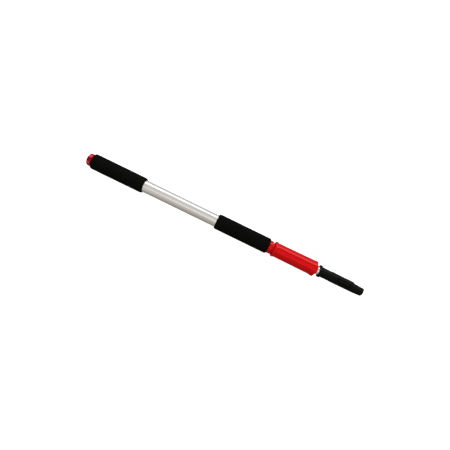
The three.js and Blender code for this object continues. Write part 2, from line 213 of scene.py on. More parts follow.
def rounded(corners, closed=False):
    """A polyline whose corners are arcs: at a corner with a radius, the two sides are cut back
    by radius x tan(half the turn), and the gap is filled by the arc that touches both."""
    points = np.array([c[:2] for c in corners], float)
    sizes = [c[2] if len(c) > 2 else 0.0 for c in corners]
    made = []
    count = len(points)
    for i, size in enumerate(sizes):
        here = points[i]
        if not size or (not closed and i in (0, count - 1)):
            made.append(here[None])
            continue
        back, ahead = points[i - 1] - here, points[(i + 1) % count] - here
        back, ahead = back / np.linalg.norm(back), ahead / np.linalg.norm(ahead)
        half = math.acos(np.clip(back @ ahead, -1, 1)) / 2
        middle_way = (back + ahead) / np.linalg.norm(back + ahead)
        centre = here + middle_way * size / math.sin(half)
        first, last = here + back * size / math.tan(half), here + ahead * size / math.tan(half)
        start = math.atan2(*(first - centre)[::-1])
        turn = (math.atan2(*(last - centre)[::-1]) - start + math.pi) % (2 * math.pi) - math.pi
        angles = start + turn * np.linspace(0, 1, FILLET_STEPS + 1)
        made.append(centre + size * np.stack([np.cos(angles), np.sin(angles)], 1))
    return np.concatenate(made)


def spaced(profile, step, closed=False):
    """The same polyline with points added along its long stretches, at most a step apart."""
    if closed:
        return spaced(np.concatenate([profile, profile[:1]]), step)[:-1]
    gaps = np.linalg.norm(np.diff(profile, axis=0), axis=1)
    parts = [
        np.linspace(a, b, max(1, math.ceil(gap / step)), endpoint=False)
        for a, b, gap in zip(profile[:-1], profile[1:], gaps)
    ]
    return np.concatenate([*parts, profile[-1:]])


def ring_section(start, end, inner, outer, soft):
    """The section of a plain ring: a rectangle in (x, r) with its four corners rounded alike."""
    return rounded([(start, inner, soft), (start, outer, soft),
                    (end, outer, soft), (end, inner, soft)], closed=True)


def skin(points, loop_rows, loop_columns):
    """Vertices and faces of a grid of points, joined end to end along a looping direction."""
    rows, columns = points.shape[:2]
    index = np.arange(rows * columns).reshape(rows, columns)
    if loop_rows:
        index = np.concatenate([index, index[:1]])
    if loop_columns:
        index = np.concatenate([index, index[:, :1]], 1)
    a, b = index[:-1, :-1], index[1:, :-1]
    c, d = index[1:, 1:], index[:-1, 1:]
    return points.reshape(-1, 3), np.stack([a, b, c, d], -1).reshape(-1, 4)


def put(name, parts, sharp=35.0):
    """An object at the origin from lists of vertices and faces. Doubled points are merged, so
    poles and seams close, and the faces are turned outwards."""
    work = bmesh.new()
    for vertices, faces in parts:
        mesh = bpy.data.meshes.new("part")
        mesh.from_pydata(vertices, [], faces)
        work.from_mesh(mesh)
        bpy.data.meshes.remove(mesh)
    bmesh.ops.remove_doubles(work, verts=work.verts, dist=1e-7)
    bmesh.ops.recalc_face_normals(work, faces=work.faces)
    mesh = bpy.data.meshes.new(name)
    work.to_mesh(mesh)
    work.free()
    mesh.shade_smooth()
    mesh.set_sharp_from_angle(angle=math.radians(sharp))
    made = bpy.data.objects.new(name, mesh)
    bpy.context.scene.collection.objects.link(made)
    return made


def revolve(profile, turns=TURNS, bulge=None, closed=False):
    """A profile of (x, r) carried round the pole's axis: the point at angle a is
    (x, r sin a, r cos a) from the axis. bulge(x, r, a) adds to r. A closed profile is a ring's
    section; an open one starts and ends on the axis."""
    angles = np.arange(turns) * 2 * math.pi / turns
    x, a = np.meshgrid(profile[:, 0], angles, indexing="ij")
    r = np.repeat(profile[:, 1:2], turns, 1)
    if bulge is not None:
        r = r + bulge(x, r, a)
    grid = np.stack([x, r * np.sin(a), AXIS_Z + r * np.cos(a)], -1)
    return skin(grid, closed, True)


def revolve_up(profile, turns):
    """A profile of (r, z) carried round the upright line through the frame's origin."""
    angles = np.arange(turns) * 2 * math.pi / turns
    r, a = np.meshgrid(profile[:, 0], angles, indexing="ij")
    z = np.repeat(profile[:, 1:2], turns, 1)
    return skin(np.stack([r * np.cos(a), r * np.sin(a), z], -1), False, True)


def cross_turned(profile, centre, direction, turns=32):
    """A profile of (height, r) carried round a line that crosses the pole: the point is
    centre + height x direction + r (cos a, sin a) in the plane across the direction."""
    direction = np.array(direction, float)
    side = np.array([1.0, 0.0, 0.0])
    other = np.cross(direction, side)
    angles = np.arange(turns) * 2 * math.pi / turns
    h, a = np.meshgrid(profile[:, 0], angles, indexing="ij")
    r = np.repeat(profile[:, 1:2], turns, 1)[..., None]
    grid = np.array(centre) + h[..., None] * direction
    grid = grid + r * (np.cos(a)[..., None] * side + np.sin(a)[..., None] * other)
    return skin(grid, False, True)


def wire(path, radius, sides=14):
    """A round wire along a path: at each point a circle in the plane across the path's
    direction, with its first axis kept as square as can be to the winding's own axis."""
    along = np.gradient(path, axis=0)
    along /= np.linalg.norm(along, axis=1, keepdims=True)
    out = path - path.mean(0)
    out -= (out * along).sum(1, keepdims=True) * along
    out /= np.linalg.norm(out, axis=1, keepdims=True)
    other = np.cross(along, out)
    angles = np.arange(sides) * 2 * math.pi / sides
    cos, sin = np.cos(angles)[None, :, None], np.sin(angles)[None, :, None]
    body = path[:, None] + radius * (cos * out[:, None] + sin * other[:, None])
    tips = [np.repeat(path[i][None, None], sides, 1) for i in (0, -1)]
    return skin(np.concatenate([tips[0], body, tips[1]]), False, True)


def slab(x, y, top, bottom):
    """A closed block over a grid of x and y: its upper face is z = top(x, y), its lower face
    z = bottom(x, y), and its four sides join their edges."""
    across, along = np.meshgrid(y, x)
    upper = np.stack([along, across, top(along, across)], -1)
    lower = np.stack([along, across, bottom(along, across)], -1)
    rim = lambda g: np.concatenate([g[0], g[1:, -1], g[-1, -2::-1], g[-2:0:-1, 0]])
    wall = np.stack([rim(upper), rim(lower)])
    return [skin(upper, False, False), skin(lower, False, False), skin(wall, False, True)]


def smooth_step(low, high, value):
    """0 before low, 1 after high, and 3t^2 - 2t^3 between."""
    t = np.clip((value - low) / (high - low), 0, 1)
    return t * t * (3 - 2 * t)


def cut_out(piece, tools):
    """Takes closed tools away from a piece and applies the result to its mesh."""
    for tool in tools:
        modifier = piece.modifiers.new("cut", "BOOLEAN")
        modifier.operation = "DIFFERENCE"
        modifier.solver = "EXACT"
        modifier.object = tool
        bake(piece)
        bpy.data.objects.remove(tool)
    piece.data.shade_smooth()
    piece.data.set_sharp_from_angle(angle=math.radians(35))


def bake(piece):
    """Applies every modifier to the piece's own mesh."""
    graph = bpy.context.evaluated_depsgraph_get()
    graph.update()
    fresh = bpy.data.meshes.new_from_object(piece.evaluated_get(graph))
    piece.modifiers.clear()
    piece.data = fresh


# ------------------------------------------------------------------ finishes

class Signal:
    """A node's output that sums, differences and products can be written with."""

    def __init__(self, graph, socket):
        self.graph = graph
        self.socket = socket

    def _with(self, operation, first, second):
        return self.graph.node("ShaderNodeMath", {"operation": operation}, first, second)

    def __add__(self, other):
        return self._with("ADD", self, other)

    def __sub__(self, other):
        return self._with("SUBTRACT", self, other)

    def __rsub__(self, other):
        return self._with("SUBTRACT", other, self)

    def __mul__(self, other):
        return self._with("MULTIPLY", self, other)

    __radd__ = __add__
    __rmul__ = __mul__


class Tree:
    """A node tree that nodes are added to by type, settings and inputs."""

    def __init__(self, tree):
        self.nodes = tree.nodes
        self.links = tree.links

    def node(self, kind, settings, *inputs, out=0, **named):
        """Adds a node of a kind, sets its settings, then its inputs, and gives one output."""
        made = self.nodes.new(kind)
        for key, value in settings.items():
            if key == "stops":
                self.set_stops(made.color_ramp.elements, value)
            else:
                setattr(made, key, value)
        for key, value in [*enumerate(inputs), *named.items()]:
            self.feed(made.inputs[key.replace("_", " ") if isinstance(key, str) else key], value)
        return Signal(self, made.outputs[out])

    def set_stops(self, elements, stops):
        """Sets a ramp's stops from positions and colours."""
        while len(elements) < len(stops):
            elements.new(1.0)
        for element, (position, colour) in zip(elements, stops):
            element.position = position
            element.color = (*colour, 1.0)

    def feed(self, socket, value):
        """Links a wire to a socket, or sets the socket's own value."""
        if isinstance(value, Signal):
            self.links.new(value.socket, socket)
        elif value is not None:
            socket.default_value = value

    def between(self, mask, low, high, start=0.0, end=1.0):
        """A number that goes from low to high as a mask goes from start to end."""
        return self.node("ShaderNodeMapRange", {"clamp": True}, mask, start, end, low, high)

    def mixed(self, mask, first, second):
        """A colour that goes from the first to the second with a mask."""
        mix = self.nodes.new("ShaderNodeMix")
        mix.data_type = "RGBA"
        self.feed(mix.inputs["Factor"], mask)
        self.feed(mix.inputs[6], first if isinstance(first, Signal) else (*first, 1.0))
        self.feed(mix.inputs[7], second if isinstance(second, Signal) else (*second, 1.0))
        return Signal(self, mix.outputs[2])


class Graph(Tree):
    """The node tree of one finish, on a Principled shader."""

    def __init__(self, name, **steady):
        self.material = bpy.data.materials.new(name)
        self.material.use_nodes = True
        super().__init__(self.material.node_tree)
        self.shader = self.nodes["Principled BSDF"]
        for key, value in steady.items():
            socket = key.replace("_", " ").title().replace("Ior", "IOR")
            self.shader.inputs[socket].default_value = value
        self.place = self.node("ShaderNodeTexCoord", {}, out="Object")

    def streaks(self, along, across, detail, roughness):
        """Cloudy variation that is scaled one way along the pole and another across it."""
        moved = self.node("ShaderNodeVectorMath", {"operation": "SUBTRACT"},
                          self.place, (0, 0, AXIS_Z))
        where = self.node("ShaderNodeVectorMath", {"operation": "MULTIPLY"},
                          moved, (along, across, across))
        return self.noise(1.0, detail, roughness, where)

    def noise(self, scale, detail=3.0, roughness=0.55, where=None):
        """Cloudy variation from 0 to 1."""
        return self.node("ShaderNodeTexNoise", {}, out="Fac", Vector=where or self.place,
                         Scale=scale, Detail=detail, Roughness=roughness)

    def bump(self, height, strength, distance, below=None):
        """A bump from a height, on top of another bump if one is given."""
        return self.node("ShaderNodeBump", {}, Height=height, Strength=strength,
                         Distance=distance, Normal=below)

    def wear(self, depth):
        """A soft mask that is 1 on edges and in the open, from the mesh's own curvature."""
        geometry = self.node("ShaderNodeNewGeometry", {}, out="Pointiness")
        return self.between(geometry, 0.0, 1.0, 0.5, 0.5 + depth)

    def done(self, colour, roughness, normal=None, glow=None):
        """Feeds what changes over the surface to the shader, and gives the material."""
        for key, value in (("Base Color", colour), ("Roughness", roughness), ("Normal", normal),
                           ("Emission Color", glow)):
            self.feed(self.shader.inputs[key], value)
        return self.material


def shade(colour, factor):
    """A colour made lighter or darker."""
    return tuple(min(1.0, c * factor) for c in colour)


def drawn_metal(name, colour, base_roughness=0.2):
    """Drawn tube: fine lines along the pole, cloudy oxide and a little handling haze."""
    g = Graph(name, metallic=1.0)
    lines = g.streaks(3.0, 900.0, 4.0, 0.6)
    bands = g.streaks(1.2, 160.0, 2.0, 0.5)
    haze = g.noise(22.0, 4.0, 0.6)
    tone = g.mixed(lines * 0.5 + bands * 0.5, shade(colour, 0.93), shade(colour, 1.06))
    roughness = g.between(lines * 0.45 + haze * 0.55, base_roughness - 0.05, base_roughness + 0.12)
    relief = g.bump(lines, 0.12, 0.00005)
    return g.done(tone, roughness, relief)


def moulded_red(name, colour):
    """Glossy moulded plastic: slight flow marks, a fine grain and softened, rubbed edges."""
    g = Graph(name, metallic=0.3, specular_ior_level=0.66)
    flow = g.streaks(30.0, 70.0, 3.0, 0.5)
    grain = g.noise(2600.0, 2.0, 0.5)
    tone = g.mixed(flow, shade(colour, 0.9), shade(colour, 1.1))
    rubbed = g.mixed(g.wear(0.06) * 0.25, tone, shade(colour, 1.5))
    roughness = g.between(flow * 0.6 + grain * 0.4, 0.07, 0.16)
    relief = g.bump(flow, 0.06, 0.0004, g.bump(grain, 0.08, 0.00004))
    return g.done(rubbed, roughness, relief)


def lacquered_red(name, colour):
    """Deep lacquer with a fine metal flake under a clear coat."""
    g = Graph(name, metallic=0.75, coat_weight=0.8, coat_roughness=0.08)
    flake = g.noise(3800.0, 1.0, 0.4)
    cloud = g.noise(60.0, 3.0, 0.5)
    tone = g.mixed(flake * 0.5 + cloud * 0.5, shade(colour, 0.82), shade(colour, 1.18))
    roughness = g.between(flake, 0.22, 0.36)
    return g.done(tone, roughness, g.bump(flake, 0.06, 0.00003))


def cell_foam(name, colour):
    """Closed-cell foam: small shallow pores over a soft, slightly mottled skin."""
    g = Graph(name, specular_ior_level=0.18)
    pores = g.node("ShaderNodeTexVoronoi", {"feature": "F1"}, out="Distance",
                   Vector=g.place, Scale=750.0)
    mottle = g.noise(110.0, 5.0, 0.65)
    fine = g.noise(1900.0, 3.0, 0.65)
    clouds = g.between(mottle, 0.0, 1.0, 0.35, 0.65)
    skin_tone = g.mixed(clouds, shade(colour, 0.5), shade(colour, 1.6))
    tone = g.mixed(g.between(pores, 0.0, 1.0, 0.25, 0.6), skin_tone, shade(colour, 3.4))
    roughness = g.between(fine, 0.75, 1.0)
    relief = g.bump(pores, 0.8, 0.0004, g.bump(fine, 0.5, 0.00015, g.bump(mottle, 0.5, 0.0008)))
    return g.done(tone, roughness, relief)


def moulded_black(name, colour):
    """Matte black plastic with a sparked mould grain and paler, handled edges."""
    g = Graph(name, specular_ior_level=0.3)
    grain = g.noise(1400.0, 4.0, 0.6)
    cloud = g.noise(45.0, 3.0, 0.5)
    tone = g.mixed(cloud, shade(colour, 0.75), shade(colour, 1.35))
    rubbed = g.mixed(g.wear(0.05) * 0.5, tone, shade(colour, 4.0))
    roughness = g.between(grain * 0.6 + cloud * 0.4, 0.42, 0.68)
    relief = g.bump(grain, 0.5, 0.00014)
    return g.done(rubbed, roughness, relief)


def plain_steel(name, colour):
    """Zinc-plated steel, with a cloudy plate and fine scuffs."""
    g = Graph(name, metallic=1.0)
    cloud = g.noise(180.0, 4.0, 0.6)
    scuffs = g.streaks(2000.0, 240.0, 3.0, 0.6)
    tone = g.mixed(cloud, shade(colour, 0.8), shade(colour, 1.12))
    return g.done(tone, g.between(scuffs, 0.22, 0.42),
                  g.bump(scuffs, 0.12, 0.00004))


def bearing_nylon(name, colour):
    """Milky nylon, faintly cloudy, with turned-in witness rings."""
    g = Graph(name, subsurface_weight=0.08)
    cloud = g.noise(90.0, 3.0, 0.5)
    rings = g.streaks(1800.0, 2.0, 2.0, 0.5)
    tone = g.mixed(cloud, shade(colour, 0.92), shade(colour, 1.04))
    return g.done(tone, g.between(cloud, 0.38, 0.52),
                  g.bump(rings, 0.1, 0.00005))


def dull_rubber(name, colour):
    """Dull black rubber with a dusty bloom."""
    g = Graph(name, specular_ior_level=0.3)
    bloom = g.noise(240.0, 4.0, 0.6)
    tone = g.mixed(bloom, colour, shade(colour, 2.2))
    return g.done(tone, g.between(bloom, 0.7, 0.9),
                  g.bump(bloom, 0.15, 0.0001))


def pale_floor(name, glow):
    """A pale, even studio sweep."""
    g = Graph(name, emission_strength=glow, specular_ior_level=0.0)
    cloud = g.noise(1.5, 2.0, 0.5)
    tone = g.mixed(cloud, (0.86, 0.86, 0.86), (0.90, 0.90, 0.90))
    return g.done(tone, 0.9, glow=(1.0, 1.0, 1.0, 1.0))


FINISHES = {
    "tube": lambda f: drawn_metal("drawn_aluminium", f.metal),
    "red_plastic": lambda f: moulded_red("moulded_red", f.red),
    "red_cap": lambda f: lacquered_red("lacquered_red", f.cap_red),
    "foam": lambda f: cell_foam("cell_foam", f.foam),
    "black_plastic": lambda f: moulded_black("moulded_black", f.black),
    "steel": lambda f: plain_steel("plated_steel", f.steel),
    "nylon": lambda f: bearing_nylon("bearing_nylon", f.nylon),
    "rubber": lambda f: dull_rubber("dull_rubber", (0.012, 0.012, 0.012)),
}
MADE = {}


def look(slot):
    """The finish of a slot, made once."""
    if slot not in MADE:
        MADE[slot] = FINISHES[slot](bpy.context.scene.pole_finishes)
    return MADE[slot]


def finish_piece(piece, body, node, slot):
    """Gives a piece the finish of its slot and its body, and hides the node it stands for."""
    piece.data.materials.clear()
    piece.data.materials.append(look(slot))
    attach(piece, body)
    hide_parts(node)


def turn_ring(name, section, body, node, slot):
    """Makes and finishes a ring from its section."""
    finish_piece(put(name, [revolve(section, closed=True)]), body, node, slot)


# ------------------------------------------------------------------ operators: the handle

class MakePiece(bpy.types.Operator):
    """Common to every piece of the pole"""

    bl_options = {"REGISTER", "UNDO"}

    @property
    def sizes(self):
        return bpy.context.scene.pole_sizes


class POLE_OT_tubes(MakePiece):
    """Adds the handle's drawn tube and the thinner tube that slides out of it"""

    bl_idname = "pole.tubes"
    bl_label = "Tubes"

    def execute(self, context):
        sizes = self.sizes
        tubes = {
            "outer_tube": ("handle_tube", "handle", TUBE_RADIUS, sizes.tube_wall, 0.35 * MM),
            "inner_tube": ("sliding_tube", "inner_pole", INNER_RADIUS, sizes.inner_wall, 0.3 * MM),
        }
        for node, (name, body, outer, wall, soft) in tubes.items():
            section = ring_section(*span(node), outer - wall, outer, soft)
            turn_ring(name, section, body, node, "tube")
        return {"FINISHED"}


class POLE_OT_butt_cap(MakePiece):
    """Adds the lacquered cap that plugs the butt of the handle"""

    bl_idname = "pole.butt_cap"
    bl_label = "Butt cap"

    def execute(self, context):
        start, end = span("butt_cap")
        shoulder = span("outer_tube")[0] - SEAT_GAP
        radius = true_radius("butt_cap")
        plug = TUBE_RADIUS - self.sizes.tube_wall - SEAT_GAP
        wall = 3.6 * MM
        profile = rounded([
            (start, 0), (start, radius, 2.6 * MM), (shoulder, radius, 0.5 * MM),
            (shoulder, plug, 0.2 * MM), (end, plug, 0.6 * MM), (end, plug - wall, 0.4 * MM),
            (start + wall, plug - wall, 2 * MM), (start + wall, 0),
        ])
        piece = put("end_cap", [revolve(profile)])
        finish_piece(piece, "handle", "butt_cap", "red_cap")
        return {"FINISHED"}


def uneven(amount, seed):
    """A slow wander of the radius: a few waves in x and angle with seeded phases."""
    phases = np.random.default_rng(seed).uniform(0, 2 * math.pi, (5, 2))

    def add(x, r, a):
        waves = sum(
            np.sin(x * (55 + 70 * i) + p) * np.cos((i + 1) * a + q)
            for i, (p, q) in enumerate(phases)
        )
        return amount * waves / len(phases) * smooth_step(0.85, 0.95, r / FOAM_RADIUS)

    return add


class POLE_OT_grips(MakePiece):
    """Adds both foam grips, each a thick ring with rounded outer corners"""

    bl_idname = "pole.grips"
    bl_label = "Foam grips"

    def grip(self, name, node, rounds, sag, seed, early=0.0):
        """Makes one grip. rounds are its two ends' roundings, sag is how far the ends shrink in
        over a thumb's width, and early is how far it starts ahead of its node."""
        start, end = span(node)
        start = start - early
        bore = TUBE_RADIUS + self.sizes.foam_gap
        ring = rounded([
            (start, bore, 0.15 * MM), (start, FOAM_RADIUS, rounds[0]),
            (end, FOAM_RADIUS, rounds[1]), (end, bore, 0.4 * MM),
        ], closed=True)
        ring = spaced(ring, 2.5 * MM, closed=True)
        wander = uneven(self.sizes.foam_swell, seed)

        def shape(x, r, a):
            outside = smooth_step(0.85, 0.95, r / FOAM_RADIUS)
            reach = 9 * MM
            near_start = 1 - smooth_step(0, reach, x - start)
            near_end = 1 - smooth_step(0, reach, end - x)
            return wander(x, r, a) - outside * (sag[0] * near_start + sag[1] * near_end)

        piece = put(name, [revolve(ring, bulge=shape, closed=True)], sharp=60)
        finish_piece(piece, "handle", node, "foam")

    def execute(self, context):
        sag = self.sizes.foam_sag
        self.grip("rear_foam", "rear_grip", (self.sizes.butt_round, 3.2 * MM),
                  sag=(0, sag), seed=3, early=0.95 * MM)
        self.grip("front_foam", "front_grip", (2.4 * MM, 0.9 * MM), sag=(0.5 * sag, 0), seed=8)
        return {"FINISHED"}


# ------------------------------------------------------------------ operators: the lock

RIB_SIDE = 90  # degrees: the sleeve's thumb rib is on the +Y side
COLLAR_END = 128.4 * MM
LAND = (137.5 * MM, 146 * MM, 15.4 * MM)  # start, end and radius of the sleeve's guide land
NECK = 12.6 * MM
BARREL = 13.2 * MM
KEY_SIDE = 270  # degrees: the key is on the -Y side
KEY_HALF_ANGLE = 16.5  # degrees either side of the key's middle
KEY_TOP = 16.2 * MM
KEY_END = 139.5 * MM
CONE_SLOPE = 0.09
CONE_START = (206 * MM, 13.85 * MM)
CONE_END = 229 * MM
JAW_TURNS = (0, 120, 240)  # degrees from +Y towards +Z
SLEEVE_TRAVEL = 4.5 * MM


def turned(points, degrees):
    """Points given from the pole's axis, turned about it from +Y towards +Z and lifted to its
    height: y' = y cos - z sin, z' = height + y sin + z cos."""
    angle = math.radians(degrees)
    x, y, z = points.T
    return np.stack([x, y * math.cos(angle) - z * math.sin(angle),
                     AXIS_Z + y * math.sin(angle) + z * math.cos(angle)], 1)


def jaw_space(turn, gap):
    """The straight-sided block that a jaw slides in, as eight corners and six faces."""
    start, end = span("jaw_1")
    half = half_height("jaw_1") + gap
    x = np.array([start - gap, end + gap])
    y = np.array([2 * MM, 30 * MM])
    z = np.array([-half, half])
    grid = np.stack(np.meshgrid(x, y, z, indexing="ij"), -1).reshape(-1, 3)
    faces = [(0, 1, 3, 2), (4, 6, 7, 5), (0, 4, 5, 1), (2, 3, 7, 6), (0, 2, 6, 4), (1, 5, 7, 3)]
    return turned(grid, turn), faces


def away_from(side, a):
    """How far an angle is from a side, in degrees: +Y is at 90 and -Y at 270."""
    return np.abs((np.degrees(a) - side + 180) % 360 - 180)


class POLE_OT_lock_body(MakePiece):
    """Adds the red lock body: spigot, collar, neck with its key, guide land and barrel"""

    bl_idname = "pole.lock_body"
    bl_label = "Lock body"

    def execute(self, context):
        start, end = span("lock_body")
        bore = INNER_RADIUS + self.sizes.running_gap
        spigot = TUBE_RADIUS - self.sizes.tube_wall - SEAT_GAP
        collar_start = span("outer_tube")[1] + SEAT_GAP
        collar = true_radius("lock_body")
        ring = rounded([
            (start, bore, 0.3 * MM), (start, spigot, 0.8 * MM),
            (collar_start, spigot, 0.2 * MM), (collar_start, collar, 0.9 * MM),
            (COLLAR_END, collar, 1.3 * MM), (COLLAR_END, NECK, 0.6 * MM),
            (LAND[0], NECK, 0.5 * MM), (LAND[0], LAND[2], 0.6 * MM),
            (LAND[1], LAND[2], 0.4 * MM), (LAND[1], BARREL, 0.3 * MM),
            (end, BARREL, 0.8 * MM), (end, bore, 0.3 * MM),
        ], closed=True)
        ring = spaced(ring, 2 * MM, closed=True)

        def key(x, r, a):
            along = (x > COLLAR_END - 0.6 * MM) & (x < KEY_END) & (r > NECK - 0.7 * MM)
            rise = 1 - smooth_step(KEY_HALF_ANGLE - 1.5, KEY_HALF_ANGLE, away_from(KEY_SIDE, a))
            return np.where(along, np.maximum(KEY_TOP - r, 0) * rise, 0)

        piece = put("lock_moulding", [revolve(ring, FINE_TURNS, key, closed=True)])
        windows = [put("window", [jaw_space(turn, SEAT_GAP)]) for turn in JAW_TURNS]
        cut_out(piece, windows)
        finish_piece(piece, "handle", "lock_body", "red_plastic")
        return {"FINISHED"}


# The sleeve's outer line, in mm: the flare by the collar is given from the sleeve's start, the
# flare by the nose from its end.
BUTT_FLARE = ((0, 18.1), (0.2, 19.1), (0.8, 19.95), (1.9, 20.35), (3.6, 20.4), (5.0, 20.25),
              (6.6, 19.5), (8.1, 18.8), (10.0, 18.45), (14.0, 18.4), (36.0, 18.45))
NOSE_FLARE = ((-45.0, 18.75), (-14.0, 18.95), (-9.6, 19.25), (-7.2, 19.85), (-5.4, 20.35),
              (-4.0, 20.45), (-2.3, 20.4), (-1.2, 20.1), (-0.65, 19.5), (-0.5, 18.8))


def flowing(points, step):
    """A smooth curve through points: between two of them it is the cubic whose slopes there are
    those of the lines that join their neighbours."""
    points = np.array(points)
    padded = np.concatenate([2 * points[:1] - points[1:2], points, 2 * points[-1:] - points[-2:-1]])
    made = []
    for i in range(len(points) - 1):
        p0, p1, p2, p3 = padded[i:i + 4]
        count = int(np.clip(np.linalg.norm(p2 - p1) / step, 2, 8))
        t = np.linspace(0, 1, count, endpoint=False)[:, None]
        made.append(0.5 * (2 * p1 + (p2 - p0) * t + (2 * p0 - 5 * p1 + 4 * p2 - p3) * t ** 2
                           + (3 * p1 - p0 - 3 * p2 + p3) * t ** 3))
    return np.concatenate([*made, points[-1:]])


def sleeve_line(start, end):
    """The sleeve's outer line from rim to rim."""
    butt = np.array(BUTT_FLARE) * MM + (start, 0)
    nose = np.array(NOSE_FLARE) * MM + (end, 0)
    return np.concatenate([flowing(butt, 0.45 * MM), flowing(nose, 0.45 * MM)])


class POLE_OT_lock_sleeve(MakePiece):
    """Adds the red sleeve that is pulled back to free the inner tube"""

    bl_idname = "pole.lock_sleeve"
    bl_label = "Lock sleeve"

    def execute(self, context):
        start, end = span("lock_sleeve")
        bore, front_bore, bridge = 15.7 * MM, 16.9 * MM, 13.5 * MM
        wall = (184 * MM, 195.7 * MM)
        outside = spaced(sleeve_line(start, end), 2 * MM)
        inside = rounded([
            (end - 0.5 * MM, front_bore + 0.2 * MM), (wall[1], front_bore, 0.4 * MM),
            (wall[1], bridge, 0.3 * MM), (wall[0], bridge, 0.3 * MM),
            (wall[0], bore, 0.4 * MM), (start, bore + 0.2 * MM),
        ])
        inside = spaced(inside, 2.5 * MM)
        ring = np.concatenate([outside, inside])
        key_end = KEY_END + SLEEVE_TRAVEL + SEAT_GAP
        skin_from, slot_below = 17.5 * MM, 16.4 * MM  # radii: outer skin, and the key's slot

        def shape(x, r, a):
            across = 1 - smooth_step(15, 27, away_from(RIB_SIDE, a))
            along = 0.4 + 0.6 * (x - start) / (end - start)
            ends = smooth_step(start + 8 * MM, start + 13 * MM, x)
            ends = ends * (1 - smooth_step(end - 13 * MM, end - 5 * MM, x))
            rib = self.sizes.thumb_rib * across * along * ends * (r > skin_from)
            by_collar = 1 - smooth_step(start + 6 * MM, start + 11 * MM, x)
            by_nose = smooth_step(end - 11 * MM, end - 5 * MM, x)
            rib = rib + self.sizes.flare_lobe * np.sin(a) * (by_collar - by_nose) * (r > skin_from)
            from_key = away_from(KEY_SIDE, a)
            slot = 1 - smooth_step(KEY_HALF_ANGLE + 0.8, KEY_HALF_ANGLE + 2, from_key)
            return rib + 0.8 * MM * slot * (x < key_end) * (r < slot_below)

        piece = put("pull_sleeve", [revolve(ring, FINE_TURNS, shape, closed=True)])
        finish_piece(piece, "sleeve", "lock_sleeve", "red_plastic")
        return {"FINISHED"}


class POLE_OT_nose(MakePiece):
    """Adds the nose cap and the plain bearing inside it"""

    bl_idname = "pole.nose"
    bl_label = "Nose cap and bushing"

    def execute(self, context):
        start, end = span("nose_cap")
        outer = true_radius("nose_cap")
        inside = BARREL + SEAT_GAP
        bore = INNER_RADIUS + self.sizes.running_gap
        face, lip, rim = end - 5.6 * MM, 11.9 * MM, end - 0.6 * MM
        bush_start, bush_end = span("nose_bushing")
        seat = bush_end + SEAT_GAP
        ring = rounded([
            (start, inside, 0.3 * MM), (start, outer, 0.4 * MM), (face, outer, 1.1 * MM),
            (face + 0.2 * MM, lip, 0.5 * MM), (rim, lip - 0.1 * MM, 0.25 * MM),
            (rim, bore, 0.15 * MM), (seat, bore, 0.2 * MM), (seat, inside, 0.2 * MM),
        ], closed=True)
        turn_ring("nose_ring", ring, "handle", "nose_cap", "red_plastic")
        ring = rounded([
            (bush_start, INNER_RADIUS + 0.2 * MM, 0.5 * MM), (bush_start, BARREL, 0.3 * MM),
            (bush_end, BARREL, 0.3 * MM), (bush_end, INNER_RADIUS + 0.2 * MM, 0.5 * MM),
        ], closed=True)
        turn_ring("front_bearing", ring, "handle", "nose_bushing", "nylon")
        return {"FINISHED"}


class POLE_OT_jaws(MakePiece):
    """Adds the three wedge jaws with toothed grips, and the tapered ring round them"""

    bl_idname = "pole.jaws"
    bl_label = "Jaws and cam ring"

    def jaw(self, number, turn):
        """Makes one jaw: a crown that follows the cam's cone, over teeth that follow the tube."""
        start, end = span("jaw_1")
        half = half_height("jaw_1")
        grip, teeth, pitch = INNER_RADIUS + 0.1 * MM, 0.35 * MM, 1.6 * MM

        def crown(x, y):
            cone = CONE_START[1] + (x - CONE_START[0]) * CONE_SLOPE - 0.15 * MM
            return np.sqrt(cone ** 2 - y ** 2)

        def bite(x, y):
            tooth = np.abs(((x - start) / pitch) % 1 - 0.5) * 2
            return np.sqrt((grip + teeth * tooth) ** 2 - y ** 2)

        parts = slab(np.linspace(start, end, 81), np.linspace(-half, half, 25), crown, bite)
        parts = [(turned(vertices, turn - 90), faces) for vertices, faces in parts]
        piece = put(f"wedge_jaw_{number}", parts, sharp=25)
        finish_piece(piece, f"grip_jaw_{number}", f"jaw_{number}", "steel")

    def execute(self, context):
        for number, turn in enumerate(JAW_TURNS, 1):
            self.jaw(number, turn)
        start, end = span("cam_ring")
        outer = true_radius("cam_ring")
        wide = CONE_START[1] + (CONE_END - CONE_START[0]) * CONE_SLOPE
        ring = rounded([
            (start, CONE_START[1], 0.4 * MM), (start, outer, 0.4 * MM), (end, outer, 0.25 * MM),
            (end, wide, 0.2 * MM), (CONE_END, wide), CONE_START,
        ], closed=True)
        turn_ring("taper_ring", ring, "sleeve", "cam_ring", "nylon")
        return {"FINISHED"}


# ------------------------------------------------------------------ operators: inside pieces

def coil_path(low, high, mean, wire_radius, turns, closed_share=0.16, steps=40):
    """A helix with closed ends: the angle runs evenly, and the way along is slowed near each
    end until the wire lies beside itself."""
    t = np.linspace(0, 1, steps * turns + 1)
    pitch = 0.22 + smooth_step(0, closed_share, t) * (1 - smooth_step(1 - closed_share, 1, t))
    way = np.concatenate([[0], np.cumsum((pitch[1:] + pitch[:-1]) / 2)])
    along = low + wire_radius + way / way[-1] * (high - low - 2 * wire_radius)
    angle = t * turns * 2 * math.pi
    return along, mean * np.cos(angle), mean * np.sin(angle)


